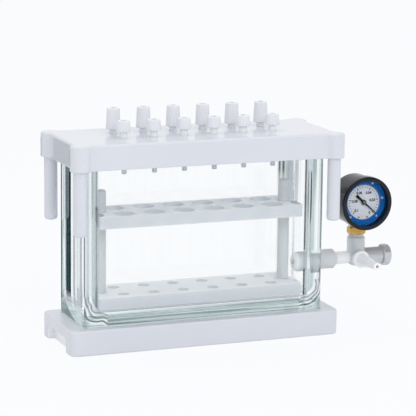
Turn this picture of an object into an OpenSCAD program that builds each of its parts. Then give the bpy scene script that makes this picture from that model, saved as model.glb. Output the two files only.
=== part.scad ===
// Vacuum manifold for solid phase extraction.
// A thick glass tank stands on a plinth under a lift-off lid, which carries two
// rows of flow valves. A tube rack stands in the tank. A tee on the right end
// wall carries a vacuum gauge, a hose nozzle and a bleed valve.
// Millimetres. Origin at the centre of the plinth's underside, +X to the right,
// +Y to the back and +Z up.

/* [Ports] */
// Number of ports in each of the two rows
ports_per_row = 6; // [2:1:8]
// Distance between neighbouring ports along a row
port_pitch = 25; // [21:0.5:32]
// Distance between the two rows
row_pitch = 24; // [20:0.5:32]

/* [Rack] */
// Diameter of the tube holes in the upper plate
tube_hole_d = 17.3; // [12:0.1:18.5]
// Diameter of the dished seats for the tubes in the lower plate
tube_seat_d = 9.6; // [6:0.1:11.5]
// Radius of the tubes' round ends, which the seats follow
tube_end_r = 8; // [7:0.1:9]
// Thickness of both plates
plate_t = 9.6; // [6:0.2:14]
// Clear height between the two plates
plate_gap = 54.6; // [40:0.2:90]
// Rounding of the plates' upright corners
plate_corner_r = 3; // [1:0.5:6]
// Diameter of the two posts
post_d = 9.2; // [6:0.1:12]
// Length of post that stands above the upper plate, to lift the rack by
post_head = 17.5; // [8:0.5:30]
// Length of post below the lower plate, which stands on the glass
post_foot = 1.7; // [1.2:0.1:6]
// Rounding of the posts' top edges
post_round = 2; // [0.5:0.1:3]
// Plate left between the last tube hole and a post
post_wall = 2.25; // [1:0.05:6]
// Plate left between a post and the end of the plate
plate_end_wall = 2.9; // [1.5:0.1:8]
// Plate left between a tube hole and the side of the plate
plate_side_wall = 1.85; // [1:0.05:6]

/* [Tank] */
// Thickness of the glass walls
tank_wall = 6; // [3:0.1:8]
// Thickness of the glass floor
tank_floor = 11.5; // [6:0.1:16]
// Outer rounding of the upright corners
tank_corner_r = 3; // [3:0.5:9]
// Inner rounding of the upright corners
tank_inner_r = 9; // [4:0.5:9]
// Outer rounding along the bottom edge
tank_bottom_r = 2; // [0.5:0.1:2.8]
// Inner rounding where the walls meet the floor
tank_floor_r = 2.5; // [0.5:0.1:3.5]
// Inner rounding where the end walls run down into the floor
tank_end_r = 9; // [5:0.5:9]
// Gap between the ends of the rack and the glass
rack_end_gap = 9.5; // [5:0.1:20]
// Gap between the sides of the rack and the glass
rack_side_gap = 1; // [0.6:0.1:5]
// Free height between the rack's posts and the lid
head_room = 21.5; // [10:0.5:40]

/* [Plinth] */
// Height of the plinth
base_h = 20; // [14:0.5:40]
// How far the plinth stands out past the ends of the tank
base_over_x = 12; // [10:0.5:30]
// How far the plinth stands out past the sides of the tank
base_over_y = 8.5; // [6:0.5:30]
// Rounding of the plinth's upright corners
base_corner_r = 6.5; // [3:0.5:12]
// Rounding along the plinth's top and bottom edges
base_edge_r = 1.5; // [0.5:0.1:2.5]
// Depth of the pocket that locates the tank
seat_depth = 1.5; // [0.5:0.1:4]
// Width of each foot beside the finger grips
grip_foot = 14; // [10:0.5:24]
// Height of the finger grips above the bench
grip_h = 12; // [6:0.5:12.5]
// Depth of the finger grips
grip_depth = 6; // [3:0.5:8]
// Rounding of the finger grips' top corners
grip_r = 4; // [1:0.5:5.5]

/* [Lid] */
// Thickness of the lid
lid_t = 20; // [14:0.5:30]
// How far the lid stands out past the ends of the tank
lid_over_x = 7.9; // [6:0.1:20]
// How far the lid stands out past the sides of the tank
lid_over_y = 11; // [10:0.1:20]
// Radius of the corner lobes
lobe_r = 8; // [7:0.1:10]
// How far the lobes' centres lie inside the lid's straight edges
lobe_inset = 3.2; // [2:0.1:5]
// Radius of the hollow blends beside the lobes
lobe_blend_r = 8; // [4:0.5:12]
// How far the glass rim reaches up into the lid
rim_depth = 2; // [1:0.1:4]
// Thickness of the gasket over the rim
gasket_t = 2; // [1:0.1:4]

/* [Legs] */
// Diameter of the lid's legs
leg_d = 10.5; // [7:0.1:12]
// Length of the legs below the lid
leg_len = 50.5; // [30:0.5:70]
// Rounding of the legs' lower ends
leg_round = 2.5; // [0.5:0.1:3.4]
// Diameter of the spigots that hold the legs in the lid
spigot_d = 6; // [4:0.1:6.8]
// Length of the spigots
spigot_len = 10; // [5:0.5:13]

/* [Valves] */
// Diameter of the valve stems
stem_d = 6.3; // [5.6:0.1:8]
// Length of stem between the lid and a tall knob
stem_show_tall = 3.5; // [3:0.1:12]
// Length of stem between the lid and a short knob
stem_show_short = 4.9; // [3:0.1:12]
// Diameter of the stem's journal inside the knob
journal_d = 4.6; // [3.8:0.1:5.4]
// Greatest diameter of the knobs
knob_wide_d = 11.7; // [10.4:0.1:14]
// Diameter of the knobs at the top
knob_top_d = 10.2; // [8.6:0.1:10.4]
// Height of the knobs in the back row
knob_tall_h = 16.6; // [13:0.1:24]
// Height of the knobs in the front row
knob_short_h = 8.6; // [7.6:0.1:13]
// Bevel round the knobs' tops and feet
knob_bevel = 0.5; // [0.3:0.1:0.8]
// Number of grip flutes round a knob
flute_count = 18; // [8:1:20]
// Diameter of the round cutter that leaves a flute
flute_d = 1.3; // [0.8:0.1:1.4]
// Depth of a flute
flute_depth = 0.2; // [0.15:0.05:0.6]
// Diameter of the sockets for the cartridges
luer_d = 4.3; // [3.8:0.05:5]
// Depth of the sockets in the tall knobs
luer_depth_tall = 7.5; // [5:0.1:9]
// Depth of the sockets in the short knobs
luer_depth_short = 4; // [3:0.1:4.5]
// Plastic left between a socket and the stem's journal
knob_web = 1.3; // [0.8:0.1:2.5]
// Diameter of the flow passage
passage_d = 1.8; // [1:0.1:2.4]
// Diameter of the outlet tips
tip_d = 4; // [3.6:0.1:5]
// Length of the outlet tips below the lid
tip_len = 8; // [4:0.5:15]
// Bevel round the outlet tips' ends
tip_bevel = 0.5; // [0.2:0.05:0.6]
// Diameter of the part of a tip that is held in the stem
tip_shank_d = 3.2; // [2.8:0.1:3.4]
// Length of the part of a tip that is held in the stem
tip_shank_len = 6; // [3:0.5:10]
// Width of the sealing rings on the stems
seal_w = 1.8; // [1:0.1:3]
// Depth of the sealing rings' grooves
seal_depth = 0.8; // [0.4:0.1:1]
// Depth of the sealing rings below the lid's top
seal_drop = 4; // [2:0.5:7]

/* [Vacuum port] */
// Height of the port above the glass floor
port_h = 23.8; // [16:0.1:45]
// Diameter of the bush in the end wall
bush_d = 16; // [13:0.1:20]
// Gap between the bush and the rack
bush_gap = 1.5; // [0.6:0.1:4]
// Length of bush outside the glass
bush_out = 24; // [12:0.5:28]
// Rounding of the bush's end inside the tank
bush_round = 4; // [0.5:0.1:5]
// Bevel of the bush's outer end
bush_bevel = 2; // [0.5:0.1:2.6]

/* [Tee] */
// Distance from the glass to the tee's upright
tee_reach = 43.5; // [40:0.5:70]
// Diameter of the tube in the bush
tube_d = 10.2; // [8:0.1:10.8]
// Diameter of the bore along the tee
tee_bore_d = 5; // [3:0.1:5.4]
// Diameter of the tee's upright
socket_d = 14.8; // [14:0.1:20]
// Height of the tee's upright above the port
socket_h = 19.8; // [16:0.1:28]
// Rounding under the tee's upright
socket_round = 6.2; // [1:0.1:6.6]
// Rounding of the upright's shoulder
shoulder_r = 0.8; // [0.2:0.1:1]
// Height of the narrower rim round the top of the upright
rim_h = 2.7; // [1:0.1:4]
// How far the rim stands in from the shoulder
rim_in = 1.05; // [1:0.05:1.6]
// Diameter of the branch for the bleed valve
branch_d = 14; // [11:0.1:14.4]
// Length of the branch from the upright's centre
branch_len = 22.5; // [20:0.5:40]
// Diameter of the boss for the nozzle
boss_d = 13.4; // [11:0.1:14]
// Length of the boss from the upright's centre
boss_len = 9; // [8.5:0.1:16]

/* [Nozzle] */
// Diameter of the nozzle's collar
collar_d = 14; // [13:0.1:16]
// Length of the collar
collar_len = 4; // [2:0.1:6]
// Rounding of the collar's front edge
collar_round = 1.4; // [0.3:0.1:1.5]
// Diameter of the cone next to the collar
cone_root_d = 11; // [8:0.1:11.2]
// Diameter of the straight tip that takes the hose
hose_d = 6.2; // [4.5:0.1:7.5]
// Length of the cone
cone_len = 21; // [10:0.5:30]
// Length of the straight tip
hose_len = 7; // [5:0.5:20]
// Bore of the nozzle
nozzle_bore_d = 2.4; // [1.5:0.1:3.5]
// Diameter of the shank in the boss
shank_d = 7; // [6:0.1:8]
// Length of the shank in the boss
shank_len = 5; // [3:0.1:5.5]

/* [Gauge] */
// Size of the brass hexagon across its flats
hex_flats = 13.4; // [12:0.1:17]
// Height of the brass hexagon
hex_h = 5.6; // [4.5:0.1:14]
// Bevel of the hexagon's corners
hex_bevel = 0.7; // [0.2:0.1:1.2]
// Angle at which the hexagon came to rest when it was screwed in
hex_turn = 28; // [0:1:59]
// Diameter of the threaded end in the tee
thread_d = 9.5; // [8:0.1:10]
// Length of the threaded end in the tee
thread_len = 9; // [5:0.1:10]
// Diameter of the neck under the case
neck_d = 9; // [6:0.1:9.6]
// Length of neck between the hexagon and the case
neck_show = 1.6; // [1:0.1:6]
// Length of neck inside the case, below the movement's block
neck_in = 1.2; // [0.8:0.1:2.5]
// Diameter of the case
case_d = 41.6; // [38:0.1:60]
// Thickness of the case
case_wall = 1.2; // [0.8:0.1:1.5]
// How far the case reaches behind the neck's centre
case_back = 9; // [7.5:0.1:16]
// Rounding of the case's back edge
case_round = 2.5; // [0.5:0.1:4]
// Distance of the dial's face in front of the neck's centre
dial_front = 12; // [11.6:0.1:16]
// Thickness of the dial
dial_t = 0.8; // [0.4:0.1:1.2]
// Width of the ledge that the dial rests on
dial_ledge = 0.8; // [0.4:0.1:1.5]
// Gap between the dial and the window
dial_room = 4.8; // [3:0.1:8]
// Thickness of the window
lens_t = 1.6; // [1:0.1:3]
// How far the bezel stands out round the case
bezel_wall = 1.3; // [0.8:0.1:3]
// Thickness of the bezel's front lip
bezel_lip_t = 1.8; // [1:0.1:3]
// How far the bezel's lip covers the window
bezel_lip_w = 2; // [0.6:0.1:3]
// Rounding of the bezel's front edge
bezel_round = 1.2; // [0.3:0.1:1.6]
// Rounding of the bezel's back edge
bezel_back_round = 0.6; // [0.2:0.1:1.2]
// How far the bezel reaches back over the case
bezel_skirt = 5; // [3:0.1:9]

/* [Gauge movement] */
// Length of the needle from its pivot to its point
needle_len = 14.7; // [10:0.1:16]
// Length of the needle's tail
needle_tail = 9; // [5:0.1:12]
// Width of the needle's tail
needle_tail_w = 2.2; // [1.2:0.1:3]
// Width of the needle beside its hub
needle_root_w = 1.5; // [0.8:0.1:2]
// Width of the needle's point
needle_point_w = 0.4; // [0.2:0.1:0.8]
// Thickness of the needle
needle_t = 0.6; // [0.3:0.1:1]
// Gap between the needle and the dial
needle_gap = 0.9; // [0.5:0.1:1.4]
// Diameter of the needle's hub
hub_d = 4; // [3:0.1:6]
// Diameter of the needle's spindle
spindle_d = 1.4; // [1:0.1:2]
// Diameter of the spindle's cap
cap_d = 2.8; // [2.4:0.1:4]
// Thickness of the spindle's cap
cap_t = 0.6; // [0.3:0.1:0.9]
// Rounding of the spindle's cap
cap_round = 0.25; // [0.1:0.05:0.3]
// Thickness of the movement's two plates
bridge_t = 1.2; // [0.8:0.1:2]
// Clear gap between the movement's two plates
bridge_gap = 3.6; // [2.5:0.1:4]
// Width of the movement's two plates
bridge_w = 14; // [10:0.5:18]
// How far the movement's plates reach down over the block
bridge_seat = 4.6; // [2:0.1:8]
// Height of the movement's plates above the spindle's centre
bridge_top = 3.8; // [2:0.1:6]
// Diameter of the pillars between the movement's plates
pillar_d = 2.4; // [1.5:0.1:3]
// Width and depth of the block that carries the movement
block_w = 8.4; // [7:0.1:9.6]
// Height of the block that carries the movement
block_h = 10.4; // [8:0.1:14]
// Mean radius of the coiled pressure tube
bourdon_r = 14.2; // [11:0.1:15]
// Radial thickness of the pressure tube
bourdon_t = 2.2; // [1.5:0.1:3]
// Width of the pressure tube along the gauge's axis
bourdon_w = 6; // [4:0.1:7]
// Rounding of the pressure tube's edges
bourdon_round = 0.7; // [0.2:0.05:0.7]
// Angle that the pressure tube turns through
bourdon_turn = 250; // [180:1:280]

/* [Bleed valve] */
// Size of the bleed knob across its corners
bleed_knob_d = 18; // [15:0.1:26]
// Length of the bleed knob
bleed_knob_len = 6.6; // [5:0.1:16]
// Number of flats round the bleed knob
bleed_flats = 8; // [6:1:12]
// Bevel round the bleed knob's ends
bleed_bevel = 1.2; // [0.4:0.1:2]
// Diameter of the bleed screw
bleed_screw_d = 6; // [5.6:0.1:8]
// Length of the bleed screw's pointed end
bleed_point_len = 4; // [2:0.1:6]
// Length of the bleed screw inside the knob
bleed_grip = 4.4; // [2.5:0.1:4.6]

/* [Fits] */
// Radial clearance of turning and pushed-in fits
slip = 0.05; // [0.02:0.01:0.1]
// Gap between the glass and the pockets that locate it
glass_gap = 0.5; // [0.2:0.1:1]
// Gap between pieces that turn beside each other
turn_gap = 0.3; // [0.1:0.05:0.5]

/* [Hidden] */
$fn = 64;
// Small distance that a cut reaches past a face
past = 1;
// How far a blend's round cutter bites past its tangent points
blend_bite = 0.05;

port_count = 2 * ports_per_row;
grid_half_x = (ports_per_row - 1) * port_pitch / 2;
grid_half_y = row_pitch / 2;

// Rack
post_x = grid_half_x + tube_hole_d / 2 + post_wall + post_d / 2;
plate_half_x = post_x + post_d / 2 + plate_end_wall;
plate_half_y = grid_half_y + tube_hole_d / 2 + plate_side_wall;
seat_z = plate_t + sqrt(pow(tube_end_r, 2) - pow(tube_seat_d / 2, 2));

// Tank
tank_in_x = plate_half_x + rack_end_gap;
tank_in_y = plate_half_y + rack_side_gap;
tank_half_x = tank_in_x + tank_wall;
tank_half_y = tank_in_y + tank_wall;
tank_z = base_h - seat_depth;
floor_z = tank_z + tank_floor;
lower_plate_z = floor_z + post_foot;
upper_plate_z = lower_plate_z + plate_t + plate_gap;
post_len = post_foot + 2 * plate_t + plate_gap + post_head;

// Lid
lid_z = floor_z + post_len + head_room;
lid_top = lid_z + lid_t;
rim_z = lid_z + rim_depth;
lid_half_x = tank_half_x + lid_over_x;
lid_half_y = tank_half_y + lid_over_y;
leg_x = lid_half_x - lobe_inset;
leg_y = lid_half_y - lobe_inset;

// Plinth
base_half_x = tank_half_x + base_over_x;
base_half_y = tank_half_y + base_over_y;

// Valves

// Port, tee and gauge
port_z = floor_z + port_h;
bush_in_x = plate_half_x + bush_gap;
bush_out_x = tank_half_x + bush_out;
tee_x = tank_half_x + tee_reach;
socket_top = port_z + socket_h;
hex_top = socket_top + hex_h;
gauge_z = hex_top + neck_show + case_d / 2;
branch_end_x = tee_x + branch_len;
case_front = dial_front + dial_room;
case_in_r = case_d / 2 - case_wall;
case_bore_r = case_in_r - dial_ledge;
bezel_d = case_d + 2 * bezel_wall;
bezel_h = bezel_skirt + lens_t + bezel_lip_t;
lens_r = case_d / 2;
needle_z = dial_front + needle_gap;
bridge_back_z = block_w / 2;
bridge_front_z = bridge_back_z + bridge_t + bridge_gap;
block_top_y = neck_in + block_h - case_bore_r;
needle_zero = -41;

// Names of the repeated nodes
function two_digits(i) = i < 9 ? str("0", i + 1) : str(i + 1);
function stem_name(i) = str("valve_stem_", two_digits(i));
function knob_name(i) = str("valve_knob_", two_digits(i));

// The ports are counted from the left, first along the back row
function is_back(i) = i < ports_per_row;
function port_x(i) = (i % ports_per_row) * port_pitch - grid_half_x;
function port_y(i) = is_back(i) ? grid_half_y : -grid_half_y;
function knob_h(i) = is_back(i) ? knob_tall_h : knob_short_h;
function stem_show(i) = is_back(i) ? stem_show_tall : stem_show_short;
function luer_depth(i) = is_back(i) ? luer_depth_tall : luer_depth_short;
function journal_len(i) = knob_h(i) - luer_depth(i) - knob_web;

// Shared shapes

// Half section of a slab or rod, with its outer corners rounded
module edge_profile(reach, h, bottom_r, top_r) {
    difference() {
        square([reach, h]);
        translate([reach - bottom_r, 0])
            edge_cut(bottom_r);
        translate([reach - top_r, h])
            mirror([0, 1])
                edge_cut(top_r);
    }
}

// The corner that a rounding of radius r takes away
module edge_cut(r) {
    if (r > 0)
        difference() {
            translate([0, -past])
                square([r + past, r + past]);
            translate([0, r])
                circle(r = r);
        }
}

// Upright rod with rounded ends
module round_rod(d, h, bottom_r, top_r) {
    rotate_extrude()
        edge_profile(d / 2, h, bottom_r, top_r);
}

// Round drum with bevelled ends
module bevelled_drum(r, h, bevel) {
    rotate_extrude()
        polygon([
            [0, 0],
            [r - bevel, 0],
            [r, bevel],
            [r, h - bevel],
            [r - bevel, h],
            [0, h]
        ]);
}

// Prism with its corners bevelled at both ends, as on a nut
module faceted_drum(d, h, sides, turn, bevel) {
    intersection() {
        rotate(turn)
            cylinder(d = d, h = h, $fn = sides);
        bevelled_drum(d / 2 + past, h, bevel + past);
    }
}

// Rectangle with rounded corners, centred
module round_rect(half_x, half_y, r) {
    square([2 * half_x, 2 * (half_y - r)], center = true);
    square([2 * (half_x - r), 2 * half_y], center = true);
    for (sx = [-1, 1], sy = [-1, 1])
        translate([sx * (half_x - r), sy * (half_y - r)])
            circle(r = r);
}

// Slab with rounded upright corners and rounded top and bottom edges,
// pieced together from quarter turns, straight edges and a core
module round_slab(half_x, half_y, h, r, bottom_r, top_r) {
    core_x = half_x - r;
    core_y = half_y - r;
    translate([-core_x, -core_y, 0])
        cube([2 * core_x, 2 * core_y, h]);
    for (turn = [0, 180])
        rotate(turn) {
            translate([-core_x, core_y, 0])
                rotate([90, 0, 90])
                    linear_extrude(2 * core_x)
                        edge_profile(r, h, bottom_r, top_r);
            translate([core_x, core_y, 0])
                rotate([90, 0, 0])
                    linear_extrude(2 * core_y)
                        edge_profile(r, h, bottom_r, top_r);
            translate([core_x, core_y, 0])
                rotate_extrude(angle = 90)
                    edge_profile(r, h, bottom_r, top_r);
            translate([-core_x, core_y, 0])
                rotate(90)
                    rotate_extrude(angle = 90)
                        edge_profile(r, h, bottom_r, top_r);
        }
}

// Lays an upright shape along +X, with its foot at x on the port's axis
module along_port(x) {
    translate([x, 0, port_z])
        rotate([0, 90, 0])
            children();
}

// Lays an upright shape along -Y, with its foot at the tee's upright
module along_nozzle() {
    translate([tee_x, 0, port_z])
        rotate([90, 0, 0])
            children();
}

// Places the gauge's pieces: its own Z is the way that the dial faces
module at_gauge() {
    translate([tee_x, 0, gauge_z])
        rotate([90, 0, 0])
            children();
}

// Repeats a shape at every port
module at_ports() {
    for (i = [0 : port_count - 1])
        translate([port_x(i), port_y(i), 0])
            children();
}

// Plinth and tank

// Outline of a finger grip, seen from the end
module grip_outline() {
    half_w = base_half_y - grip_foot;
    translate([-half_w, -past])
        square([2 * half_w, grip_h - grip_r + past]);
    translate([-half_w + grip_r, -past])
        square([2 * (half_w - grip_r), grip_h + past]);
    for (side = [-1, 1])
        translate([side * (half_w - grip_r), grip_h - grip_r])
            circle(r = grip_r);
}

module base_plinth() {
    color("whitesmoke")
        difference() {
            round_slab(base_half_x, base_half_y, base_h, base_corner_r, base_edge_r, base_edge_r);
            translate([0, 0, tank_z])
                linear_extrude(seat_depth + past)
                    round_rect(tank_half_x + glass_gap, tank_half_y + glass_gap, tank_corner_r + glass_gap);
            for (turn = [0, 180])
                rotate(turn)
                    translate([base_half_x - grip_depth, 0, 0])
                        rotate([90, 0, 90])
                            linear_extrude(grip_depth + past)
                                grip_outline();
        }
}

// Lengthwise section of the tank's hollow, with well rounded lower ends.
// The round cutters bite past the wall and the floor
module hollow_section() {
    end_x = tank_in_x - tank_end_r + blend_bite;
    end_z = floor_z + tank_end_r - blend_bite;
    translate([-tank_half_x, end_z])
        square([2 * tank_half_x, rim_z - end_z + 2 * past]);
    translate([-end_x, floor_z - past])
        square([2 * end_x, rim_z - floor_z]);
    for (side = [-1, 1])
        translate([side * end_x, end_z])
            circle(r = tank_end_r);
}

module tank_hollow() {
    intersection() {
        translate([0, 0, floor_z])
            round_slab(tank_in_x, tank_in_y, rim_z - floor_z + past, tank_inner_r, tank_floor_r, 0);
        rotate([90, 0, 0])
            linear_extrude(2 * tank_half_y, center = true)
                hollow_section();
    }
}

module glass_tank() {
    color("powderblue", 0.4)
        difference() {
            translate([0, 0, tank_z])
                round_slab(tank_half_x, tank_half_y, rim_z - tank_z, tank_corner_r, tank_bottom_r, 0);
            tank_hollow();
            along_port(tank_in_x - past)
                cylinder(d = bush_d + 2 * slip, h = tank_wall + 2 * past);
        }
}

// Vacuum port, tee and nozzle

module port_bush() {
    bush_len = bush_out_x - bush_in_x;
    color("gainsboro")
        along_port(bush_in_x)
            difference() {
                union() {
                    round_rod(bush_d, bush_len - bush_bevel, bush_round, 0);
                    translate([0, 0, bush_len - bush_bevel])
                        cylinder(d1 = bush_d, d2 = bush_d - 2 * bush_bevel, h = bush_bevel);
                }
                translate([0, 0, bush_round - turn_gap])
                    cylinder(d = tube_d + 2 * slip, h = bush_len);
                translate([0, 0, -past])
                    cylinder(d = tee_bore_d, h = bush_round + past);
            }
}

module tee_body() {
    tube_x = bush_in_x + bush_round;
    color("gainsboro")
        difference() {
            union() {
                along_port(tube_x)
                    cylinder(d = tube_d, h = tee_x - tube_x);
                translate([tee_x, 0, port_z - socket_d / 2])
                    round_rod(socket_d, socket_d / 2 + socket_h - rim_h, socket_round, shoulder_r);
                translate([tee_x, 0, port_z])
                    cylinder(d = socket_d - 2 * rim_in, h = socket_h);
                along_port(tee_x)
                    cylinder(d = branch_d, h = branch_len);
                along_nozzle()
                    cylinder(d = boss_d, h = boss_len);
            }
            along_port(bush_in_x)
                cylinder(d = tee_bore_d, h = branch_end_x - bush_in_x + past);
            translate([tee_x, 0, port_z])
                cylinder(d = tee_bore_d, h = socket_h);
            translate([tee_x, 0, socket_top - thread_len - turn_gap])
                cylinder(d = thread_d + 2 * slip, h = thread_len + turn_gap + past);
            along_nozzle()
                cylinder(d = tee_bore_d, h = boss_len);
            along_nozzle()
                translate([0, 0, boss_len - shank_len - turn_gap])
                    cylinder(d = shank_d + 2 * slip, h = shank_len + turn_gap + past);
            along_port(tee_x + socket_d / 2)
                cylinder(d = bleed_screw_d + 2 * slip, h = branch_len);
        }
}

module hose_nozzle() {
    cone_z = boss_len + collar_len;
    hose_z = cone_z + cone_len;
    full_len = shank_len + collar_len + cone_len + hose_len;
    color("white")
        along_nozzle()
            difference() {
                union() {
                    translate([0, 0, boss_len - shank_len])
                        cylinder(d = shank_d, h = shank_len);
                    translate([0, 0, boss_len])
                        round_rod(collar_d, collar_len, 0, collar_round);
                    translate([0, 0, cone_z])
                        cylinder(d1 = cone_root_d, d2 = hose_d, h = cone_len);
                    translate([0, 0, hose_z])
                        cylinder(d = hose_d, h = hose_len);
                }
                translate([0, 0, boss_len - shank_len - past])
                    cylinder(d = nozzle_bore_d, h = full_len + 2 * past);
            }
}

// Gauge

module gauge_socket() {
    neck_foot = hex_top - socket_top;
    block_foot = gauge_z - case_bore_r + neck_in - socket_top;
    color("darkgoldenrod")
        translate([tee_x, 0, socket_top])
            difference() {
                union() {
                    translate([0, 0, -thread_len])
                        cylinder(d = thread_d, h = thread_len);
                    faceted_drum(hex_flats / cos(30), hex_h, 6, hex_turn, hex_bevel);
                    translate([0, 0, neck_foot])
                        cylinder(d = neck_d, h = block_foot - neck_foot);
                    translate([-block_w / 2, -block_w / 2, block_foot])
                        cube([block_w, block_w, block_h]);
                }
                translate([0, 0, -thread_len - past])
                    cylinder(d = passage_d, h = thread_len + block_foot + block_w / 2 + past);
            }
}

module gauge_case() {
    color([0.09, 0.09, 0.1])
        difference() {
            at_gauge()
                difference() {
                    translate([0, 0, -case_back])
                        round_rod(case_d, case_back + case_front, case_round, 0);
                    translate([0, 0, -case_back + case_wall])
                        cylinder(r = case_bore_r, h = case_back + case_front);
                    translate([0, 0, dial_front - dial_t])
                        cylinder(r = case_in_r, h = dial_t + dial_room + past);
                }
            translate([tee_x, 0, hex_top])
                cylinder(d = neck_d + 2 * slip, h = neck_show + case_d / 2 - case_bore_r + neck_in);
        }
}

module gauge_bezel() {
    color([0.06, 0.06, 0.07])
        at_gauge()
            difference() {
                translate([0, 0, case_front - bezel_skirt])
                    round_rod(bezel_d, bezel_h, bezel_back_round, bezel_round);
                translate([0, 0, case_front - bezel_skirt - past])
                    cylinder(r = lens_r + slip, h = bezel_skirt + lens_t + past);
                translate([0, 0, case_front])
                    cylinder(r = lens_r - bezel_lip_w, h = lens_t + bezel_lip_t + past);
            }
}

module gauge_lens() {
    color("aliceblue", 0.3)
        at_gauge()
            translate([0, 0, case_front])
                cylinder(r = lens_r, h = lens_t);
}

module gauge_dial() {
    color("royalblue")
        at_gauge()
            translate([0, 0, dial_front - dial_t])
                difference() {
                    cylinder(r = case_in_r - slip, h = dial_t);
                    translate([0, 0, -past])
                        cylinder(d = spindle_d + 2 * turn_gap, h = dial_t + 2 * past);
                }
}

// C-shaped tube that uncurls under vacuum, from the block round to its free end
module bourdon_tube() {
    start = -acos(block_w / 4 / bourdon_r);
    color("goldenrod")
        at_gauge()
            difference() {
                rotate(start)
                    rotate_extrude(angle = bourdon_turn)
                        translate([bourdon_r, 0])
                            round_rect(bourdon_t / 2, bourdon_w / 2, bourdon_round);
                translate([-block_w / 2, block_top_y - block_h, -block_w / 2])
                    cube([block_w, block_h, block_w]);
            }
}

// Two plates on pillars, in which the needle's spindle turns
module gauge_movement() {
    foot_y = block_top_y - bridge_seat;
    pillar_y = foot_y + pillar_d;
    color("darkkhaki")
        at_gauge()
            difference() {
                union() {
                    for (z = [bridge_back_z, bridge_front_z])
                        translate([-bridge_w / 2, foot_y, z])
                            cube([bridge_w, bridge_top - foot_y, bridge_t]);
                    for (side = [-1, 1])
                        translate([side * (bridge_w / 2 - pillar_d), pillar_y, bridge_back_z])
                            cylinder(d = pillar_d, h = bridge_gap + 2 * bridge_t);
                }
                translate([0, 0, bridge_back_z - past])
                    cylinder(d = spindle_d + 2 * slip, h = bridge_gap + 2 * bridge_t + 2 * past);
            }
}

module gauge_needle() {
    color([0.05, 0.05, 0.05])
        at_gauge()
            translate([0, 0, needle_z])
                rotate(needle_zero)
                    linear_extrude(needle_t)
                        difference() {
                            needle_outline();
                            circle(d = spindle_d + 2 * slip);
                        }
}

// Blunt broad tail, round hub and fine tapered point along +X
module needle_outline() {
    circle(d = hub_d);
    polygon([
        [-needle_tail, -needle_tail_w / 2],
        [0, -needle_root_w / 2],
        [needle_len, -needle_point_w / 2],
        [needle_len, needle_point_w / 2],
        [0, needle_root_w / 2],
        [-needle_tail, needle_tail_w / 2]
    ]);
}

module needle_spindle() {
    foot_z = bridge_back_z;
    cap_z = needle_z + needle_t;
    color("peru")
        at_gauge() {
            translate([0, 0, foot_z])
                cylinder(d = spindle_d, h = cap_z - foot_z);
            translate([0, 0, cap_z])
                round_rod(cap_d, cap_t, 0, cap_round);
        }
}

// Bleed valve

module bleed_knob() {
    knob_x = branch_end_x + turn_gap;
    color("gainsboro")
        difference() {
            along_port(knob_x)
                faceted_drum(bleed_knob_d, bleed_knob_len, bleed_flats, 180 / bleed_flats, bleed_bevel);
            along_port(knob_x - past)
                cylinder(d = bleed_screw_d + 2 * slip, h = bleed_grip + turn_gap + past);
        }
}

module bleed_screw() {
    point_x = tee_x + socket_d / 2;
    knob_x = branch_end_x + turn_gap;
    color("silver")
        along_port(point_x) {
            cylinder(d1 = passage_d, d2 = bleed_screw_d, h = bleed_point_len);
            translate([0, 0, bleed_point_len])
                cylinder(d = bleed_screw_d, h = knob_x + bleed_grip - point_x - bleed_point_len);
        }
}

// Rack

// One plate with its two post holes, less what is cut out at every port
module rack_plate(z) {
    color("gainsboro")
        translate([0, 0, z])
            difference() {
                linear_extrude(plate_t)
                    round_rect(plate_half_x, plate_half_y, plate_corner_r);
                at_ports()
                    children();
                for (side = [-1, 1])
                    translate([side * post_x, 0, -past])
                        cylinder(d = post_d + 2 * slip, h = plate_t + 2 * past);
            }
}

module rack_upper_plate() {
    rack_plate(upper_plate_z)
        translate([0, 0, -past])
            cylinder(d = tube_hole_d, h = plate_t + 2 * past);
}

module rack_lower_plate() {
    rack_plate(lower_plate_z)
        translate([0, 0, seat_z])
            sphere(r = tube_end_r);
}

module rack_post(side) {
    color("gainsboro")
        translate([side * post_x, 0, floor_z])
            round_rod(post_d, post_len, 0, post_round);
}

// Lid and legs

// Hollow blend between a lobe centred here and a straight edge at y = gap
module lobe_blend(gap) {
    rise = gap + lobe_blend_r;
    foot = -sqrt(pow(lobe_r + lobe_blend_r, 2) - pow(rise, 2));
    difference() {
        polygon([[0, 0], [foot, rise], [foot, 0]]);
        translate([foot, rise])
            circle(r = lobe_blend_r + blend_bite);
    }
}

// Rectangle with a round lobe over each leg
module lid_outline() {
    square([2 * lid_half_x, 2 * lid_half_y], center = true);
    for (mx = [0, 1], my = [0, 1])
        mirror([mx, 0])
            mirror([0, my])
                translate([leg_x, leg_y]) {
                    circle(r = lobe_r);
                    lobe_blend(lobe_inset);
                    mirror([1, -1])
                        lobe_blend(lobe_inset);
                }
}

// Ring that follows the glass rim, widened by a gap on both sides
module rim_ring(gap) {
    difference() {
        round_rect(tank_half_x + gap, tank_half_y + gap, tank_corner_r + gap);
        round_rect(tank_in_x - gap, tank_in_y - gap, tank_inner_r - gap);
    }
}

module lid_plate() {
    color("whitesmoke")
        difference() {
            translate([0, 0, lid_z])
                linear_extrude(lid_t)
                    lid_outline();
            translate([0, 0, lid_z - past])
                linear_extrude(rim_depth + gasket_t + past)
                    rim_ring(glass_gap);
            translate([0, 0, lid_z - past])
                at_ports()
                    cylinder(d = stem_d + 2 * slip, h = lid_t + 2 * past);
            for (sx = [-1, 1], sy = [-1, 1])
                translate([sx * leg_x, sy * leg_y, lid_z - past])
                    cylinder(d = spigot_d + 2 * slip, h = spigot_len + turn_gap + past);
        }
}

module lid_gasket() {
    color("silver")
        translate([0, 0, rim_z])
            linear_extrude(gasket_t)
                rim_ring(0);
}

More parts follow.
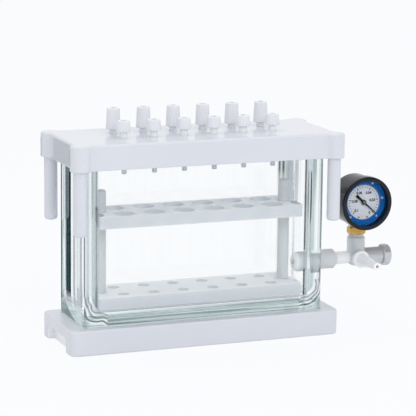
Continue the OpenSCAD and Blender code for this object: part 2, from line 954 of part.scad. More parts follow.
module lid_leg(sx, sy) {
    color("whitesmoke")
        translate([sx * leg_x, sy * leg_y, lid_z - leg_len]) {
            round_rod(leg_d, leg_len, leg_round, 0);
            translate([0, 0, leg_len])
                cylinder(d = spigot_d, h = spigot_len);
        }
}

// Valves

module stem_seals() {
    groove_r = stem_d / 2 - seal_depth;
    color("dimgray")
        at_ports()
            translate([0, 0, lid_top - seal_drop - seal_w])
                rotate_extrude()
                    translate([groove_r + slip, slip])
                        square([seal_depth - slip, seal_w - 2 * slip]);
}

module outlet_tips() {
    color("darkgray")
        at_ports()
            translate([0, 0, lid_z - tip_len])
                difference() {
                    union() {
                        bevelled_drum(tip_d / 2, tip_len, tip_bevel);
                        translate([0, 0, tip_len - tip_bevel])
                            cylinder(d = tip_shank_d, h = tip_shank_len + tip_bevel);
                    }
                    translate([0, 0, -past])
                        cylinder(d = passage_d, h = tip_len + tip_shank_len + 2 * past);
                }
}

module valve_stem(i) {
    journal_z = lid_t + stem_show(i);
    full_h = journal_z + journal_len(i) - turn_gap;
    color("white")
        translate([port_x(i), port_y(i), lid_z])
            difference() {
                union() {
                    cylinder(d = stem_d, h = journal_z - slip);
                    cylinder(d = journal_d, h = full_h);
                }
                translate([0, 0, lid_t - seal_drop - seal_w])
                    rotate_extrude()
                        translate([stem_d / 2 - seal_depth, 0])
                            square([seal_depth + past, seal_w]);
                translate([0, 0, -past])
                    cylinder(d = passage_d, h = full_h + 2 * past);
                translate([0, 0, -past])
                    cylinder(d = tip_shank_d + 2 * slip, h = tip_shank_len + turn_gap + past);
            }
}

// Tapered drum with a bevelled top and foot
module knob_drum(h) {
    top_r = knob_top_d / 2;
    rotate_extrude()
        polygon([
            [0, 0],
            [knob_wide_d / 2 - knob_bevel, 0],
            [knob_wide_d / 2, knob_bevel],
            [top_r, h - knob_bevel],
            [top_r - knob_bevel, h],
            [0, h]
        ]);
}

// Grip flutes that follow the slope of a knob's side
module knob_flutes(h) {
    slope = atan((knob_wide_d - knob_top_d) / 2 / (h - 2 * knob_bevel));
    for (k = [0 : flute_count - 1])
        rotate(k * 360 / flute_count)
            translate([knob_wide_d / 2 + flute_d / 2 - flute_depth, 0, knob_bevel])
                rotate([0, -slope, 0])
                    translate([0, 0, -knob_bevel])
                        cylinder(d = flute_d, h = h + past);
}

module valve_knob(i) {
    h = knob_h(i);
    color("white")
        translate([port_x(i), port_y(i), lid_top + stem_show(i)])
            difference() {
                knob_drum(h);
                knob_flutes(h);
                translate([0, 0, -past])
                    cylinder(d = journal_d + 2 * slip, h = journal_len(i) + past);
                cylinder(d = passage_d, h = h);
                translate([0, 0, h - luer_depth(i)])
                    cylinder(d = luer_d, h = luer_depth(i) + past);
            }
}

base_plinth();
glass_tank();
port_bush();
tee_body();
hose_nozzle();
gauge_socket();
gauge_case();
gauge_bezel();
gauge_lens();
gauge_dial();
bourdon_tube();
gauge_movement();
gauge_needle();
needle_spindle();
bleed_knob();
bleed_screw();
rack_upper_plate();
rack_lower_plate();
rack_post(-1);  // rack_post_left
rack_post(1);  // rack_post_right
lid_plate();
lid_gasket();
lid_leg(-1, -1);  // leg_front_left
lid_leg(1, -1);  // leg_front_right
lid_leg(-1, 1);  // leg_back_left
lid_leg(1, 1);  // leg_back_right
stem_seals();
outlet_tips();
for (i = [0 : port_count - 1]) {
    valve_stem(i);
    valve_knob(i);
}
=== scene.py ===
import bpy
import math
from mathutils import Matrix, Vector


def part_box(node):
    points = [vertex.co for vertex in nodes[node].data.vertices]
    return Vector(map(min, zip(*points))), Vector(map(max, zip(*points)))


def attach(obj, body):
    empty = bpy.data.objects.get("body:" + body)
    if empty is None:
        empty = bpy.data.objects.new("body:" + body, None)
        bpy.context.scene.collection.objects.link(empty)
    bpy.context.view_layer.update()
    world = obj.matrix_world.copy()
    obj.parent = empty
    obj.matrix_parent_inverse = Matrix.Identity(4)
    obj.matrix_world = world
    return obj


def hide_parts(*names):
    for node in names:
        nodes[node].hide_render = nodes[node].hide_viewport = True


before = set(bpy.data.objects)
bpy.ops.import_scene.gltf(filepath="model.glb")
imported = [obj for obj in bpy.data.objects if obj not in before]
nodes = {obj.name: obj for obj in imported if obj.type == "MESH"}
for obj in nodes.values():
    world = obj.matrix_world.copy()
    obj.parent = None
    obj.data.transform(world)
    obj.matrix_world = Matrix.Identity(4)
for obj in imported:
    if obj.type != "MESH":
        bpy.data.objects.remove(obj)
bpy.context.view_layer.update()        # mesh nodes of the imported model, freed of their parents
mm = 0.001
facingFront = (math.pi / 2, 0, 0)        # turns a flat thing on the floor to face the front
print("frame loaded:", len(nodes), "nodes")

# tools for node trees


def feed(tree, socket, value):        # links another socket, or sets a plain value or colour
    if hasattr(value, "is_linked"):
        tree.links.new(value, socket)
    else:
        socket.default_value = (*value, 1) if isinstance(value, tuple) else value


def addNode(tree, kind, values=None):        # values are given by socket name
    node = tree.nodes.new("ShaderNode" + kind)
    for label, value in (values or {}).items():
        feed(tree, node.inputs[label], value)
    return node


def addMath(tree, operation, a, b=0.0):
    step = addNode(tree, "Math")
    step.operation = operation
    feed(tree, step.inputs[0], a)
    feed(tree, step.inputs[1], b)
    return step.outputs[0]


def addLength(tree, a, b):        # length of the long side over two short ones
    squares = [addMath(tree, "MULTIPLY", side, side) for side in (a, b)]
    return addMath(tree, "SQRT", addMath(tree, "ADD", *squares))


def addRange(tree, value, low, high, toLow=0.0, toHigh=1.0):
    spread = addNode(tree, "MapRange", {"Value": value, "From Min": low, "From Max": high,
                                        "To Min": toLow, "To Max": toHigh})
    return spread.outputs["Result"]


def addNoise(tree, place, scale, detail, roughness=0.5):
    noise = addNode(tree, "TexNoise", {"Vector": place, "Scale": scale, "Detail": detail,
                                       "Roughness": roughness})
    return noise.outputs[0]


def objectPlace(tree):
    return addNode(tree, "TexCoord").outputs["Object"]


def faceNormal(tree):
    return addNode(tree, "NewGeometry").outputs["Normal"]


def splitAxes(tree, vector):        # X, Y and Z of a place or a normal
    return addNode(tree, "SeparateXYZ", {"Vector": vector}).outputs


def mixColours(tree, share, a, b):
    mix = addNode(tree, "Mix")
    mix.data_type = "RGBA"
    feed(tree, mix.inputs["Factor"], share)
    for label, value in (("A", a), ("B", b)):
        feed(tree, [s for s in mix.inputs if s.name == label and s.type == "RGBA"][0], value)
    return [s for s in mix.outputs if s.type == "RGBA"][0]


def mixShaders(tree, share, a, b):
    mix = addNode(tree, "MixShader", {"Fac": share})
    tree.links.new(a, mix.inputs[1])
    tree.links.new(b, mix.inputs[2])
    return mix.outputs[0]


def bareMaterial(name):        # an output and nothing else
    material = bpy.data.materials.new(name)
    material.use_nodes = True
    tree = material.node_tree
    tree.nodes.clear()
    return material, tree, addNode(tree, "OutputMaterial")


# camera and studio

cameraSet = {
    "azimuth": -21.68,
    "elevation": 11.04,
    "roll": 0.67,
    "lens": 178.2,
    "sensor": 36,
    "distance": 1639.6 * mm,
    "target": (13.3 * mm, 0, 102.5 * mm),
}
studioSet = {
    "backdrop": (0.972, 0.98, 1.0),
    "ambient": (0.95, 0.965, 1.0),
    "ambientLevel": 0.75,
    "floorSize": 8.0,
    "floorColour": (0.94, 0.945, 0.955),
    "shadowShare": 0.07,
    "cardColour": (0.05, 0.075, 0.085),
    "lampAim": (0, 0, 0.1),
}
cardSet = {
    "darkRoom": {"place": (0, -3.0, 2.02), "size": (7.0, 4.0)},
    "bandFlag": {"place": (-0.1469, 0.15, 0.057), "size": (0.0048, 0.112)},
    "edgeFlag": {"place": (-0.1400, 0.15, 0.057), "size": (0.0036, 0.112)},
    "lidFlag": {"place": (-0.165, 0.15, 0.128), "size": (0.13, 0.028)},
}
softboxSet = {
    "topBox": {"place": (-0.25, 0.25, 1.35), "size": (1.6, 1.1), "power": 4.0},
    "frontBox": {"place": (0.15, -1.5, 1.2), "size": (1.5, 1.0), "power": 9.0},
    "leftBox": {"place": (-1.8, -0.5, 0.2), "size": (0.9, 0.35), "power": 0.5},
}


def addCamera():
    turn, rise, roll = (math.radians(cameraSet[k]) for k in ("azimuth", "elevation", "roll"))
    back = Vector((math.sin(turn) * math.cos(rise), -math.cos(turn) * math.cos(rise), math.sin(rise)))
    right = Vector((0, 0, 1)).cross(back).normalized()
    up = back.cross(right)
    right, up = (math.cos(roll) * right + math.sin(roll) * up,
                 math.cos(roll) * up - math.sin(roll) * right)
    place = Vector(cameraSet["target"]) + back * cameraSet["distance"]
    bpy.ops.object.camera_add()
    camera = bpy.context.object
    camera.name = "photoCamera"
    camera.matrix_world = Matrix.Translation(place) @ Matrix((right, up, back)).transposed().to_4x4()
    camera.data.lens = cameraSet["lens"]
    camera.data.sensor_width = cameraSet["sensor"]
    bpy.context.scene.camera = camera


def backdropRays(tree):        # 1 on rays that should meet the plain backdrop
    path = addNode(tree, "LightPath").outputs
    straight = addMath(tree, "MAXIMUM", path["Is Camera Ray"], path["Is Glossy Ray"])
    return addMath(tree, "MAXIMUM", straight, path["Is Transmission Ray"])


def addWorld():
    world = bpy.data.worlds.new("studioWorld")
    bpy.context.scene.world = world
    world.use_nodes = True
    tree = world.node_tree
    tree.nodes.clear()
    fill = addNode(tree, "Background", {"Color": studioSet["ambient"], "Strength": studioSet["ambientLevel"]})
    seen = addNode(tree, "Background", {"Color": studioSet["backdrop"]})
    light = mixShaders(tree, backdropRays(tree), fill.outputs[0], seen.outputs[0])
    tree.links.new(light, addNode(tree, "OutputWorld").inputs["Surface"])


def addFloor():
    bpy.ops.mesh.primitive_plane_add(size=studioSet["floorSize"])
    floor = bpy.context.object
    floor.name = "studioFloor"
    material, tree, out = bareMaterial("studioFloorPaint")
    matt = addNode(tree, "BsdfDiffuse", {"Color": studioSet["floorColour"]})
    glow = addNode(tree, "Emission", {"Color": studioSet["backdrop"]})
    share = addMath(tree, "MULTIPLY", backdropRays(tree), 1 - studioSet["shadowShare"])
    tree.links.new(mixShaders(tree, share, matt.outputs[0], glow.outputs[0]), out.inputs["Surface"])
    floor.data.materials.append(material)


def addDarkCards():        # unlit room and narrow flags, met only by gloss
    material, tree, out = bareMaterial("darkCardPaint")
    glow = addNode(tree, "Emission", {"Color": studioSet["cardColour"]})
    tree.links.new(glow.outputs[0], out.inputs["Surface"])
    for name, values in cardSet.items():
        bpy.ops.mesh.primitive_plane_add(size=1, location=values["place"], rotation=facingFront)
        card = bpy.context.object
        card.name = name
        card.scale = (*values["size"], 1)
        card.data.materials.append(material)
        card.visible_camera = False
        card.visible_diffuse = False
        card.visible_shadow = False
        card.visible_transmission = False


def addSoftboxes():
    aim = Vector(studioSet["lampAim"])
    for name, box in softboxSet.items():
        place = Vector(box["place"])
        bpy.ops.object.light_add(type="AREA", location=place)
        lamp = bpy.context.object
        lamp.name = name
        lamp.rotation_euler = (aim - place).to_track_quat("-Z", "Y").to_euler()
        lamp.data.shape = "RECTANGLE"
        lamp.data.size, lamp.data.size_y = box["size"]
        lamp.data.energy = box["power"]


bpy.context.scene.view_settings.view_transform = "Standard"
addCamera()
addWorld()
addFloor()
addDarkCards()
addSoftboxes()
print("camera and studio set")

# tools for modelling

toolSet = {
    "merge": 0.002 * mm,
    "flatAngle": 0.4,
    "smoothAngle": 35,
    "level": 0.01 * mm,        # slack in tests of height
}


def clearPick():
    if bpy.context.mode != "OBJECT":
        bpy.ops.object.mode_set(mode="OBJECT")
    bpy.ops.object.select_all(action="DESELECT")


def takeUp(piece):        # the only picked and active object
    clearPick()
    piece.select_set(True)
    bpy.context.view_layer.objects.active = piece


def settle(piece):        # place, turn and scale go into the mesh
    takeUp(piece)
    bpy.ops.object.transform_apply(location=True, rotation=True, scale=True)


def startPick(piece, kind):
    takeUp(piece)
    bpy.ops.object.mode_set(mode="EDIT")
    bpy.ops.mesh.select_mode(type=kind)
    bpy.ops.mesh.select_all(action="DESELECT")
    bpy.ops.object.mode_set(mode="OBJECT")


def pickFaces(piece, test):        # test gets a face's normal
    startPick(piece, "FACE")
    for face in piece.data.polygons:
        face.select = test(face.normal)
    bpy.ops.object.mode_set(mode="EDIT")


def pickEdges(piece, test):        # test gets the places of an edge's two ends
    startPick(piece, "EDGE")
    points = piece.data.vertices
    for edge in piece.data.edges:
        start, end = (points[i].co for i in edge.vertices)
        edge.select = test(start, end)
    bpy.ops.object.mode_set(mode="EDIT")


def roundEdges(piece, test, radius, steps):
    pickEdges(piece, test)
    bpy.ops.mesh.bevel(offset=radius, segments=steps, profile=0.5, affect="EDGES")
    bpy.ops.object.mode_set(mode="OBJECT")


def addBlock(low, high):
    clearPick()
    bpy.ops.mesh.primitive_cube_add(size=1, location=(low + high) / 2, scale=high - low)
    block = bpy.context.object
    settle(block)
    return block


def applyModifiers(piece):
    takeUp(piece)
    for modifier in list(piece.modifiers):
        bpy.ops.object.modifier_apply(modifier=modifier.name)


def cutWith(piece, cutter, operation):
    cut = piece.modifiers.new("cut", "BOOLEAN")
    cut.operation = operation
    cut.solver = "EXACT"
    cut.object = cutter
    applyModifiers(piece)
    bpy.data.objects.remove(cutter, do_unlink=True)


def copyNode(name):        # a merged copy of a CAD node's mesh, free to reshape
    piece = nodes[name].copy()
    piece.data = nodes[name].data.copy()
    piece.parent = None
    for key in list(piece.keys()):
        del piece[key]
    bpy.context.collection.objects.link(piece)
    takeUp(piece)
    bpy.ops.mesh.customdata_custom_splitnormals_clear()
    bpy.ops.object.mode_set(mode="EDIT")
    bpy.ops.mesh.select_all(action="SELECT")
    bpy.ops.mesh.remove_doubles(threshold=toolSet["merge"])
    bpy.ops.mesh.dissolve_limited(angle_limit=math.radians(toolSet["flatAngle"]))
    bpy.ops.object.mode_set(mode="OBJECT")
    return piece


def finishPiece(piece, name, body, materials, stands=(), angle=toolSet["smoothAngle"]):
    settle(piece)
    bpy.ops.object.shade_smooth_by_angle(angle=math.radians(angle))
    weigh = piece.modifiers.new("weigh", "WEIGHTED_NORMAL")
    weigh.keep_sharp = True
    applyModifiers(piece)
    piece.name = name
    piece.data.name = name
    if materials:
        piece.data.materials.clear()
        for material in materials:
            piece.data.materials.append(material)
    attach(piece, body)
    if stands:
        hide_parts(*stands)


# shader groups shared by the materials

noiseSpread = (0.3, 0.7)        # the part of a noise's range that shows
cloudSet = {"detail": 4.0, "rough": 0.6}
skinSet = {"fineDetail": 3.0, "wideScale": 0.08, "wideDetail": 2.0}
dustSet = {"facingUp": (0.2, 1.0), "specks": 700.0, "detail": 5.0, "rough": 0.7, "film": (0.35, 0.75)}


def newGroup(name, inputs, outputs):
    group = bpy.data.node_groups.new(name, "ShaderNodeTree")
    for label, kind, value in inputs:
        socket = group.interface.new_socket(name=label, in_out="INPUT", socket_type=kind)
        socket.default_value = value
    for label, kind in outputs:
        group.interface.new_socket(name=label, in_out="OUTPUT", socket_type=kind)
    return group, group.nodes.new("NodeGroupInput").outputs, group.nodes.new("NodeGroupOutput").inputs


def makeClouding():        # slow drift between two tints, as in cast or pressed plastic
    group, given, result = newGroup(
        "clouding",
        [("Tint A", "NodeSocketColor", (0.8, 0.8, 0.8, 1)),
         ("Tint B", "NodeSocketColor", (0.7, 0.7, 0.7, 1)),
         ("Size", "NodeSocketFloat", 30.0)],
        [("Color", "NodeSocketColor")])
    drift = addNoise(group, objectPlace(group), given["Size"], cloudSet["detail"], cloudSet["rough"])
    mask = addRange(group, drift, *noiseSpread)
    group.links.new(mixColours(group, mask, given["Tint A"], given["Tint B"]), result["Color"])
    return group


def makeMouldSkin():        # fine skin left by a mould or a cutter: roughness and height
    group, given, result = newGroup(
        "mouldSkin",
        [("Size", "NodeSocketFloat", 900.0),
         ("Rough Low", "NodeSocketFloat", 0.3),
         ("Rough High", "NodeSocketFloat", 0.4)],
        [("Roughness", "NodeSocketFloat"), ("Height", "NodeSocketFloat")])
    place = objectPlace(group)
    fine = addNoise(group, place, given["Size"], skinSet["fineDetail"])
    wideSize = addMath(group, "MULTIPLY", given["Size"], skinSet["wideScale"])
    wide = addNoise(group, place, wideSize, skinSet["wideDetail"])
    rough = addRange(group, wide, *noiseSpread, given["Rough Low"], given["Rough High"])
    group.links.new(rough, result["Roughness"])
    group.links.new(fine, result["Height"])
    return group


def makeSettledDust():        # pale film on faces that look up
    group, given, result = newGroup(
        "settledDust",
        [("Base", "NodeSocketColor", (0.02, 0.02, 0.02, 1)),
         ("Dust", "NodeSocketColor", (0.4, 0.4, 0.4, 1)),
         ("Amount", "NodeSocketFloat", 0.1)],
        [("Color", "NodeSocketColor")])
    facing = addRange(group, splitAxes(group, faceNormal(group))["Z"], *dustSet["facingUp"])
    specks = addNoise(group, objectPlace(group), dustSet["specks"], dustSet["detail"], dustSet["rough"])
    film = addRange(group, specks, *dustSet["film"])
    mask = addMath(group, "MULTIPLY", addMath(group, "MULTIPLY", facing, film), given["Amount"])
    group.links.new(mixColours(group, mask, given["Base"], given["Dust"]), result["Color"])
    return group


clouding = makeClouding()
mouldSkin = makeMouldSkin()
settledDust = makeSettledDust()

# tools for materials


def newMaterial(name):
    material, tree, out = bareMaterial(name)
    shader = addNode(tree, "BsdfPrincipled")
    tree.links.new(shader.outputs["BSDF"], out.inputs["Surface"])
    return material, tree, shader


def useGroup(tree, group, values):
    node = addNode(tree, "Group")
    node.node_tree = group
    for label, value in values.items():
        feed(tree, node.inputs[label], value)
    return node.outputs


def addBump(tree, shader, height, strength, depth):
    bump = addNode(tree, "Bump", {"Strength": strength, "Distance": depth, "Height": height})
    tree.links.new(bump.outputs["Normal"], shader.inputs["Normal"])


def addClouds(tree, tints, size):
    return useGroup(tree, clouding, {"Tint A": tints[0], "Tint B": tints[1], "Size": size})["Color"]


def addSkin(tree, shader, values):        # roughness and, where it is given, fine bump
    low, high = values["rough"]
    skin = useGroup(tree, mouldSkin, {"Size": values["grain"], "Rough Low": low, "Rough High": high})
    tree.links.new(skin["Roughness"], shader.inputs["Roughness"])
    if "bump" in values:
        addBump(tree, shader, skin["Height"], *values["bump"])


# plastics and rubber

whiteTints = ((0.685, 0.703, 0.755), (0.712, 0.725, 0.765))
rubberTints = ((0.66, 0.68, 0.70), (0.61, 0.63, 0.645))
plasticBase = {        # for each plastic that says nothing else
    "bump": (0.05, 0.2 * mm),
    "glow": 0.0,
    "glowDepth": 3 * mm,
}
glowSpread = (1.0, 1.0, 1.05)
plasticSet = {
    "lidPlastic": {"tints": whiteTints, "drift": 9.0, "grain": 900.0, "rough": (0.09, 0.14),
                   "bump": (0.015, 0.2 * mm)},
    # the grips' hollows take painted light
    "gripPlastic": {"tints": whiteTints, "drift": 18.0, "grain": 700.0, "rough": (0.3, 0.42),
                    "grips": (0.97, 0.975, 0.985)},
    "basePlastic": {"tints": whiteTints, "drift": 18.0, "grain": 700.0, "rough": (0.34, 0.44)},
    "valvePlastic": {"tints": ((0.815, 0.825, 0.85), (0.79, 0.798, 0.825)), "drift": 90.0, "grain": 1500.0,
                     "rough": (0.42, 0.52), "bump": (0.04, 0.2 * mm), "glow": 0.15},
    # stems are paler than the knobs: painted light against the shade under the knobs
    "stemPlastic": {"tints": ((0.95, 0.96, 0.98), (0.93, 0.94, 0.96)), "drift": 90.0, "grain": 1500.0,
                    "rough": (0.3, 0.4), "glow": 0.1},
    "rackPlastic": {"tints": ((0.64, 0.67, 0.68), (0.61, 0.64, 0.65)), "drift": 22.0, "grain": 700.0,
                    "rough": (0.38, 0.5)},
    # plate tops are painted light, paler than the rack's own tint in rackPlastic, and their holes are painted
    # shade
    "upperRackPlastic": {"tints": ((0.95, 0.965, 0.97), (0.92, 0.935, 0.945)), "drift": 22.0, "grain": 700.0,
                         "rough": (0.38, 0.5), "glow": 0.8, "glowDepth": 8 * mm,
                         "holes": (8.55 * mm, (0.42, 0.44, 0.455))},
    "lowerRackPlastic": {"tints": ((0.96, 0.97, 0.98), (0.94, 0.95, 0.96)), "drift": 22.0, "grain": 700.0,
                         "rough": (0.38, 0.5), "glow": 0.8, "glowDepth": 8 * mm,
                         "holes": (4.75 * mm, (0.64, 0.66, 0.67))},
    "bushRubber": {"tints": rubberTints, "drift": 60.0, "grain": 900.0, "rough": (0.4, 0.55),
                   "bump": (0.1, 0.2 * mm), "glow": 0.6, "endLight": (0.97, 0.975, 0.98)},
    "gasketRubber": {"tints": rubberTints, "drift": 60.0, "grain": 900.0, "rough": (0.4, 0.55),
                     "bump": (0.1, 0.2 * mm), "glow": 0.6},
    "teePlastic": {"tints": ((0.64, 0.665, 0.685), (0.54, 0.565, 0.58)), "drift": 70.0, "grain": 900.0,
                   "rough": (0.14, 0.24), "bump": (0.08, 0.2 * mm), "glow": 0.7, "teeLightAndShadow": True},
    "nozzlePlastic": {"tints": ((0.97, 0.975, 0.985), (0.94, 0.945, 0.955)), "drift": 80.0, "grain": 1000.0,
                      "rough": (0.16, 0.26), "bump": (0.08, 0.2 * mm), "glow": 0.2},
    "tipPlastic": {"tints": ((0.66, 0.68, 0.70), (0.60, 0.62, 0.64)), "drift": 120.0, "grain": 1500.0,
                   "rough": (0.35, 0.5)},
    "sealRubber": {"tints": ((0.10, 0.10, 0.11), (0.07, 0.07, 0.08)), "drift": 120.0, "grain": 1200.0,
                   "rough": (0.5, 0.65), "bump": (0.1, 0.2 * mm)},
}
# the sides' tint, and the grid on which the holes' painted shade falls
holeSet = {"pitch": 25 * mm, "row": 12 * mm, "side": (0.66, 0.68, 0.705), "topFacing": 0.7}
# the hollows of the grips, where painted light makes the plinth paler
gripSet = {"inner": 106.8 * mm, "outer": 112.8 * mm, "half": 24.2 * mm, "top": 12.2 * mm}
# painted light on the tee's neck, and painted shadow of the gauge over the branch
teeLightSet = {"neck": (139 * mm, 136 * mm), "neckLight": (0.90, 0.91, 0.925),
           "branch": (149 * mm, 152 * mm), "branchShadow": (0.30, 0.30, 0.305), "facingUp": (0.15, 0.8)}
# reach of the painted light at the bush's inner end
bushFade = (4 * mm, 1 * mm)


def paintRackLightAndShade(tree, colour, radius, shade):        # painted light and shade: tops keep the pale tint, cut sides take a darker one, and holes are painted shade
    place = splitAxes(tree, objectPlace(tree))
    pitch = holeSet["pitch"]
    along = addMath(tree, "SUBTRACT", addMath(tree, "FLOORED_MODULO", place["X"], pitch), pitch / 2)
    across = addMath(tree, "SUBTRACT", addMath(tree, "ABSOLUTE", place["Y"]), holeSet["row"])
    inside = addMath(tree, "LESS_THAN", addLength(tree, along, across), radius)
    facing = splitAxes(tree, faceNormal(tree))["Z"]
    top = addMath(tree, "GREATER_THAN", facing, holeSet["topFacing"])
    plate = mixColours(tree, top, holeSet["side"], colour)
    return mixColours(tree, inside, plate, shade)


def paintGripLight(tree, colour, tint):        # painted light: the hollows at the two ends of the plinth are made paler against their shade
    place = splitAxes(tree, objectPlace(tree))
    width, depth = (addMath(tree, "ABSOLUTE", place[axis]) for axis in "XY")
    inside = addMath(tree, "MULTIPLY", addMath(tree, "GREATER_THAN", width, gripSet["inner"]),
                     addMath(tree, "LESS_THAN", width, gripSet["outer"]))
    for value, limit in ((depth, gripSet["half"]), (place["Z"], gripSet["top"])):
        inside = addMath(tree, "MULTIPLY", inside, addMath(tree, "LESS_THAN", value, limit))
    return mixColours(tree, inside, colour, tint)


def paintTeeLightAndShadow(tree, colour):        # painted light on the pale neck, and painted shadow of the gauge on top of the branch and its knob
    along = splitAxes(tree, objectPlace(tree))["X"]
    facing = splitAxes(tree, faceNormal(tree))["Z"]
    neck = addRange(tree, along, *teeLightSet["neck"])
    paintedShadow = addMath(tree, "MULTIPLY", addRange(tree, along, *teeLightSet["branch"]),
                    addRange(tree, facing, *teeLightSet["facingUp"]))
    return mixColours(tree, paintedShadow, mixColours(tree, neck, colour, teeLightSet["neckLight"]), teeLightSet["branchShadow"])


def paintBushEndLight(tree, colour, tint):        # painted light: the end of the bush inside the tank is made paler against the shade of its bore
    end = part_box("port_bush")[0].x
    along = splitAxes(tree, objectPlace(tree))["X"]
    return mixColours(tree, addRange(tree, along, *(end + reach for reach in bushFade)), colour, tint)


def makePlastic(name):
    values = {**plasticBase, **plasticSet[name]}
    material, tree, shader = newMaterial(name)
    colour = addClouds(tree, values["tints"], values["drift"])
    if "holes" in values:
        colour = paintRackLightAndShade(tree, colour, *values["holes"])
    if "grips" in values:
        colour = paintGripLight(tree, colour, values["grips"])
    if "teeLightAndShadow" in values:
        colour = paintTeeLightAndShadow(tree, colour)
    if "endLight" in values:
        colour = paintBushEndLight(tree, colour, values["endLight"])
    tree.links.new(colour, shader.inputs["Base Color"])
    addSkin(tree, shader, values)
    if values["glow"]:        # milky plastics let some light through
        shader.inputs["Subsurface Weight"].default_value = values["glow"]
        shader.inputs["Subsurface Radius"].default_value = glowSpread
        shader.inputs["Subsurface Scale"].default_value = values["glowDepth"]
    return material


plastics = {name: makePlastic(name) for name in plasticSet}

# glass

glassSet = {
    "tint": (0.997, 1.0, 0.999),
    "ior": 1.51,
    "depthTint": (0.66, 0.82, 0.82),
    "depthDensity": 2.2,
    "shadeTint": (0.96, 0.975, 0.975),
    "waveSize": 26.0,
    "waveDetail": 2.0,
    "wave": (0.25, 0.3 * mm),
    "outerSkin": 4.1 * mm,        # faces this near the outline are the outside of the tank
}
bandTints = {
    "clear": (0.997, 1.0, 0.999),
    "pale": (0.76, 0.84, 0.85),
    "teal": (0.38, 0.49, 0.51),
    "mist": (0.30, 0.36, 0.37),
    "deep": (0.05, 0.09, 0.10),
    "pine": (0.0005, 0.006, 0.008),
    "ink": (0.0002, 0.0005, 0.0012),
}
endSet = {        # painted reflection bands over the depth of an end wall, places in millimetres
    "bands": ((-29.5, "clear"), (-28.0, "mist"), (-23.0, "teal"), (-21.5, "pale"), (-16.0, "teal"),
              (-12.0, "pale"), (-9.5, "mist"), (-8.5, "deep"), (-6.5, "deep"), (-5.5, "mist"),
              (-4.5, "pale"), (-1.5, "clear"), (0.0, "clear"), (0.6, "ink"), (4.0, "ink"),
              (6.0, "pine"), (8.0, "pine"), (9.5, "ink"), (11.5, "pine"), (13.8, "pine"),
              (14.6, "pale"), (16.5, "clear"), (23.0, "clear"), (23.6, "ink"), (29.5, "ink")),
    "slant": (0.35, 0.55),
    "bendRise": (60 * mm, 22 * mm),
    "bendShift": 25 * mm,
    "bendPower": 6.0,
    "bendLimit": 20 * mm,
    "footRise": (42 * mm, 29 * mm),
    "footFade": 0.8,
    "footEdge": (16.0 * mm, 23.4 * mm),
    "footTint": (0.03, 0.075, 0.08),
}
sideSet = {        # painted reflection bands along the front and back walls
    "nearBands": ((-101.0, "pale"), (-100.6, "pale"), (-100.4, "ink"), (-99.2, "ink"), (-98.8, "pale"),
                  (-98.3, "pale"), (-97.9, "teal"), (-96.2, "teal"), (-95.4, "pale"), (-94.6, "pale"),
                  (-93.8, "teal"), (-92.5, "mist"), (-91.0, "mist"), (-90.2, "deep"), (-89.4, "deep"),
                  (-88.8, "clear"), (83.9, "clear"), (84.2, "ink"), (85.2, "ink"), (85.7, "mist"),
                  (86.8, "mist"), (87.4, "teal"), (88.6, "teal"), (89.2, "mist"), (90.0, "teal"),
                  (92.0, "teal"), (92.6, "mist"), (93.2, "pale"), (93.8, "clear"), (97.6, "clear"),
                  (98.2, "deep"), (101.0, "deep")),
    "farBands": ((-101.0, "clear"), (-98.5, "pale"), (-97.5, "clear"), (-96.0, "mist"), (-95.0, "pale"),
                 (-93.5, "teal"), (-92.0, "mist"), (-91.0, "deep"), (-90.0, "ink"), (-88.6, "ink"),
                 (-88.0, "mist"), (-87.0, "mist"), (-86.5, "ink"), (-85.2, "ink"), (-84.6, "teal"),
                 (-83.0, "clear")),
    "farRise": (95 * mm, 125 * mm, 0.25, 1.0),
    "floorRise": (33 * mm, 29 * mm),
}
swirlSet = {        # painted reflection bands curled in the lower corners, places from the curl's centre
    "bands": ((13.0, "clear"), (14.2, "clear"), (14.8, "deep"), (15.8, "mist"), (17.0, "pale"),
              (18.2, "ink"), (19.2, "teal"), (20.4, "clear"), (21.4, "deep"), (22.6, "ink"),
              (23.6, "pale"), (26.0, "teal")),
    "centre": (81 * mm, 45 * mm),
    "wobbleSize": 75.0,
    "wobbleDetail": 1.0,
    "wobble": 2.5 * mm,
}
# painted dark reflection in the four lowest corners
cornerSet = {
    "width": (95 * mm, 99.5 * mm),
    "depth": (24 * mm, 28 * mm),
    "rise": (31.5 * mm, 24.5 * mm),
    "tint": (0.11, 0.19, 0.20),
}
portSet = {
    "from": 84 * mm,
    "height": 61.6 * mm,
    "fade": (8.6 * mm, 6.4 * mm),
    "share": 0.72,
    "tint": (0.80, 0.885, 0.89),
}
# painted reflection streaks in the glass floor
floorStreaks = {"tints": ((0.54, 0.66, 0.67), (0.055, 0.095, 0.10)), "scale": (5.0, 40.0, 420.0),
                "share": (0.40, 0.62)}
# emitted colours of the painted glow for light caught in the glass
trappedStreaks = {"tints": ((0.98, 0.99, 1.0), (0.56, 0.65, 0.67)), "scale": (260.0, 260.0, 14.0),
                  "share": (0.42, 0.56)}
streakDetail = 2.0
trappedDepth = 5.5        # bounces after which light counts as caught in the glass
windowSet = {"tint": (0.98, 0.985, 0.99), "ior": 1.15, "shadeTint": (0.95, 0.95, 0.95), "grain": 300.0,
             "rough": (0.0, 0.02)}


def letShadowsThrough(tree, shader, tint):        # clear to shadow and diffuse rays
    out = [n for n in tree.nodes if n.type == "OUTPUT_MATERIAL"][0]
    path = addNode(tree, "LightPath").outputs
    clear = addNode(tree, "BsdfTransparent", {"Color": tint})
    share = addMath(tree, "MAXIMUM", path["Is Shadow Ray"], path["Is Diffuse Ray"])
    mix = mixShaders(tree, share, shader.outputs["BSDF"], clear.outputs[0])
    tree.links.new(mix, out.inputs["Surface"])
    return out


